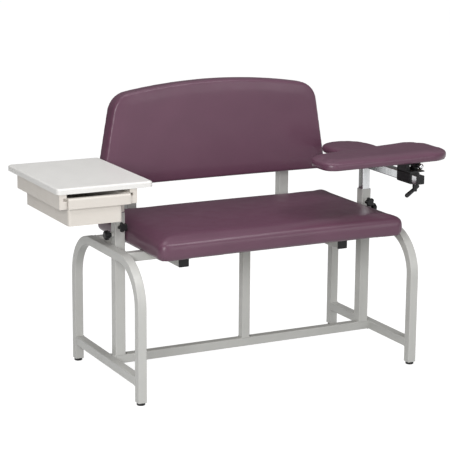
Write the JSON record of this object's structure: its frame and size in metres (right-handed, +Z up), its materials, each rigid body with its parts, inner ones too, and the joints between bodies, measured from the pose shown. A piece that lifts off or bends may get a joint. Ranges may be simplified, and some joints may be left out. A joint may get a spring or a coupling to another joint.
{
  "type": "phlebotomy chair",
  "caption": "Extra-wide blood-drawing chair: bent-tube frame, vinyl seat and back, height-adjustable side table with a drawer, and a padded flip-up arm.",
  "frame": {"origin": "on the floor, at the middle of the whole chair's footprint", "axes": "+Z up, the sitter faces -Y, +X towards the padded arm (the sitter's left)"},
  "size_m": [1.488, 0.7122, 1.0223],
  "materials": {
    "frame_paint": "satin powder coat, pale grey",
    "chrome": "polished chrome plate",
    "black_plastic": "moulded, fine grain",
    "black_steel": "satin black powder coat",
    "zinc_steel": "zinc plated",
    "plywood": "plain plywood",
    "vinyl": "soft-grain upholstery vinyl, plum",
    "laminate": "satin laminate, pale grey",
    "tray_plastic": "moulded, warm off-white"
  },
  "bodies": {
    "base": {"left_side_frame": "frame_paint", "right_side_frame": "frame_paint", "side_stretchers": "frame_paint", "post_spacers": "frame_paint", "cross_stretcher": "frame_paint", "front_seat_rail": "frame_paint", "rear_seat_rail": "frame_paint", "centre_seat_rail": "frame_paint", "centre_leg": "frame_paint", "leg_glides": "black_plastic", "left_back_support": "frame_paint", "right_back_support": "frame_paint", "back_support_plugs": "black_plastic", "back_bolts": "zinc_steel", "table_outer_post": "frame_paint", "arm_outer_post": "frame_paint", "post_liners": "black_plastic", "seat_cushion": "vinyl", "seat_board": "plywood", "seat_screws": "zinc_steel", "back_cushion": "vinyl", "back_board": "vinyl"},
    "table_arm": {"table_inner_post": "chrome", "table_slide_tube": "chrome", "table_post_foot": "black_plastic", "table_tube_plugs": "black_plastic"},
    "table": {"table_sleeve": "black_plastic", "table_bracket": "black_steel", "table_top": "laminate", "table_screws": "zinc_steel", "left_drawer_rail": "tray_plastic", "right_drawer_rail": "tray_plastic"},
    "drawer": {"drawer": "tray_plastic"},
    "table_height_lock": {"table_height_knob": "black_plastic", "table_height_stud": "zinc_steel"},
    "table_side_lock": {"table_side_knob": "black_plastic", "table_side_stud": "zinc_steel"},
    "table_slide_lock": {"table_slide_knob": "black_plastic", "table_slide_stud": "zinc_steel", "table_slide_washer": "zinc_steel"},
    "pad_arm": {"arm_inner_post": "chrome", "arm_slide_tube": "chrome", "arm_post_foot": "black_plastic", "arm_tube_plugs": "black_plastic", "side_pad": "vinyl", "side_pad_board": "plywood", "side_pad_mount": "black_steel"},
    "arm_height_lock": {"arm_height_knob": "black_plastic", "arm_height_stud": "zinc_steel"},
    "arm_side_lock": {"arm_side_knob": "black_plastic", "arm_side_stud": "zinc_steel"},
    "arm_carriage": {"arm_sleeve": "black_plastic", "flip_hinge_base": "black_steel", "hinge_pin": "chrome", "hinge_pin_ring": "zinc_steel"},
    "arm_slide_lock": {"clamp_lever": "black_plastic", "clamp_lever_stud": "zinc_steel"},
    "flip_arm": {"flip_hinge_plate": "black_steel", "flip_pad": "vinyl", "flip_pad_board": "plywood"}
  },
  "joints": [
    {"name": "table_height", "type": "slide", "parent": "base", "child": "table_arm", "axis": [0, 0, 1], "range_m": [-0.004, 0.1]},
    {"name": "table_slide", "type": "slide", "parent": "table_arm", "child": "table", "axis": [0, 1, 0], "range_m": [0, 0.08]},
    {"name": "drawer_slide", "type": "slide", "parent": "table", "child": "drawer", "axis": [0, -1, 0], "range_m": [0, 0.3]},
    {"name": "table_height_lock_turn", "type": "hinge", "parent": "base", "child": "table_height_lock", "pos_m": [-0.44057, 0.0029, 0.567], "axis": [0, -1, 0], "range_deg": [0, 360]},
    {"name": "table_side_lock_turn", "type": "hinge", "parent": "base", "child": "table_side_lock", "pos_m": [-0.45963, 0.02195, 0.534], "axis": [-1, 0, 0], "range_deg": [0, 360]},
    {"name": "table_slide_lock_turn", "type": "hinge", "parent": "table", "child": "table_slide_lock", "pos_m": [-0.44057, 0.08445, 0.61238], "axis": [0, 0, -1], "range_deg": [0, 360]},
    {"name": "arm_height", "type": "slide", "parent": "base", "child": "pad_arm", "axis": [0, 0, 1], "range_m": [-0.045, 0.1]},
    {"name": "arm_height_lock_turn", "type": "hinge", "parent": "base", "child": "arm_height_lock", "pos_m": [0.56258, 0.0029, 0.567], "axis": [0, -1, 0], "range_deg": [0, 360]},
    {"name": "arm_side_lock_turn", "type": "hinge", "parent": "base", "child": "arm_side_lock", "pos_m": [0.58162, 0.02195, 0.534], "axis": [1, 0, 0], "range_deg": [0, 360]},
    {"name": "arm_slide", "type": "slide", "parent": "pad_arm", "child": "arm_carriage", "axis": [0, -1, 0], "range_m": [-0.06, 0.024]},
    {"name": "arm_slide_lock_turn", "type": "hinge", "parent": "arm_carriage", "child": "arm_slide_lock", "pos_m": [0.57257, -0.30605, 0.69037], "axis": [0, 0, -1], "range_deg": [0, 90]},
    {"name": "flip", "type": "hinge", "parent": "arm_carriage", "child": "flip_arm", "pos_m": [0.59557, -0.26205, 0.749], "axis": [0, 1, 0], "range_deg": [0, 90]}
  ]
}
